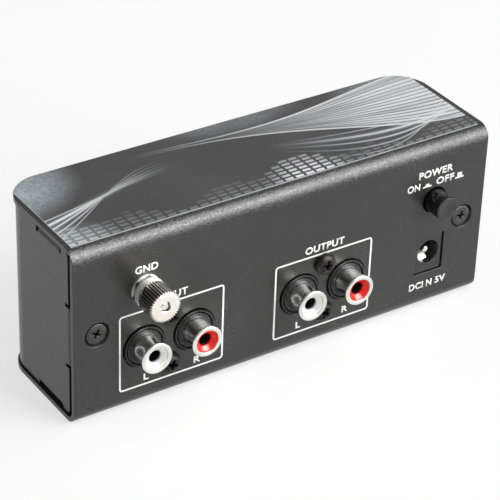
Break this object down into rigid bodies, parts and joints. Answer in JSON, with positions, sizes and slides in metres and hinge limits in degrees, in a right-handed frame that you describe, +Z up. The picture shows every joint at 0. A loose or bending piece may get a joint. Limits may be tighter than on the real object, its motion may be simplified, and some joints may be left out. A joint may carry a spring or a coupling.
{
  "type": "phono preamplifier",
  "caption": "Small folded-steel phono preamplifier with phono input and output sockets, a ground terminal with a knurled thumb nut, a DC inlet and a push power button on one long side.",
  "frame": {"origin": "the middle of the case's underside, on the surface that the case stands on", "axes": "+X to the right along the connector panel as its user faces it, +Y from the connector panel towards the back, +Z up"},
  "size_m": [0.12, 0.0451, 0.0488],
  "materials": {
    "case_paint": "charcoal powder coat, fine texture",
    "label_print": "dark printed overlay under clear film",
    "black_screw": "blackened steel",
    "board": "green solder mask",
    "black_moulding": "black moulded plastic",
    "nickel": "nickel plate",
    "white_insert": "white moulded plastic",
    "red_insert": "red moulded plastic",
    "contact_brass": "plated brass",
    "tinned_metal": "tinned",
    "wire_sheath": "green insulated wire",
    "button_cap": "black moulded plastic",
    "switch_slider": "natural moulded plastic",
    "spring_steel": "spring wire",
    "film_epoxy": "brown-red box",
    "can_sleeve": "dark printed sleeve",
    "resistor_coat": "blue lacquer with colour rings"
  },
  "bodies": {
    "case": {"cover_shell": "case_paint", "end_shell": "case_paint", "top_label": "label_print", "case_screws": "black_screw", "socket_screws": "black_screw", "circuit_board": "board", "input_socket_block": "black_moulding", "output_socket_block": "black_moulding", "input_left_barrel": "nickel", "input_right_barrel": "nickel", "output_left_barrel": "nickel", "output_right_barrel": "nickel", "input_left_insert": "white_insert", "output_left_insert": "white_insert", "input_right_insert": "red_insert", "output_right_insert": "red_insert", "socket_centre_contacts": "contact_brass", "ground_stud": "nickel", "ground_base_washer": "nickel", "ground_hex_nut": "nickel", "ground_rear_washer": "nickel", "ground_lug": "tinned_metal", "ground_wire": "wire_sheath", "inlet_body": "black_moulding", "inlet_pin": "nickel", "inlet_leaf": "tinned_metal", "switch_body": "black_moulding", "switch_spring": "spring_steel", "switch_pins": "tinned_metal", "amplifier_chip": "black_moulding", "film_capacitors": "film_epoxy", "electrolytic_cans": "can_sleeve", "resistors": "resistor_coat", "supply_diode": "black_moulding"},
    "button": {"power_button": "button_cap", "switch_plunger": "switch_slider"},
    "loose_washer": {"ground_front_washer": "nickel"},
    "thumb_nut": {"ground_thumb_nut": "nickel"}
  },
  "joints": [
    {"name": "power_button_press", "type": "slide", "parent": "case", "child": "button", "axis": [0, 1, 0], "range_m": [0, 0.0022], "stiffness_N_per_m": 400, "springref_m": -0.002, "deforming": ["switch_spring"]},
    {"name": "ground_nut_travel", "type": "slide", "parent": "case", "child": "loose_washer", "axis": [0, -1, 0], "range_m": [0, 0.0021]},
    {"name": "ground_nut_turn", "type": "hinge", "parent": "loose_washer", "child": "thumb_nut", "pos_m": [-0.0408, -0.0209, 0.0332], "axis": [0, -1, 0], "range_deg": [0, 1080]}
  ],
  "couplings": [
    {"joint": "ground_nut_turn", "follows": "ground_nut_travel", "rad_per_m": 8975.9}
  ]
}
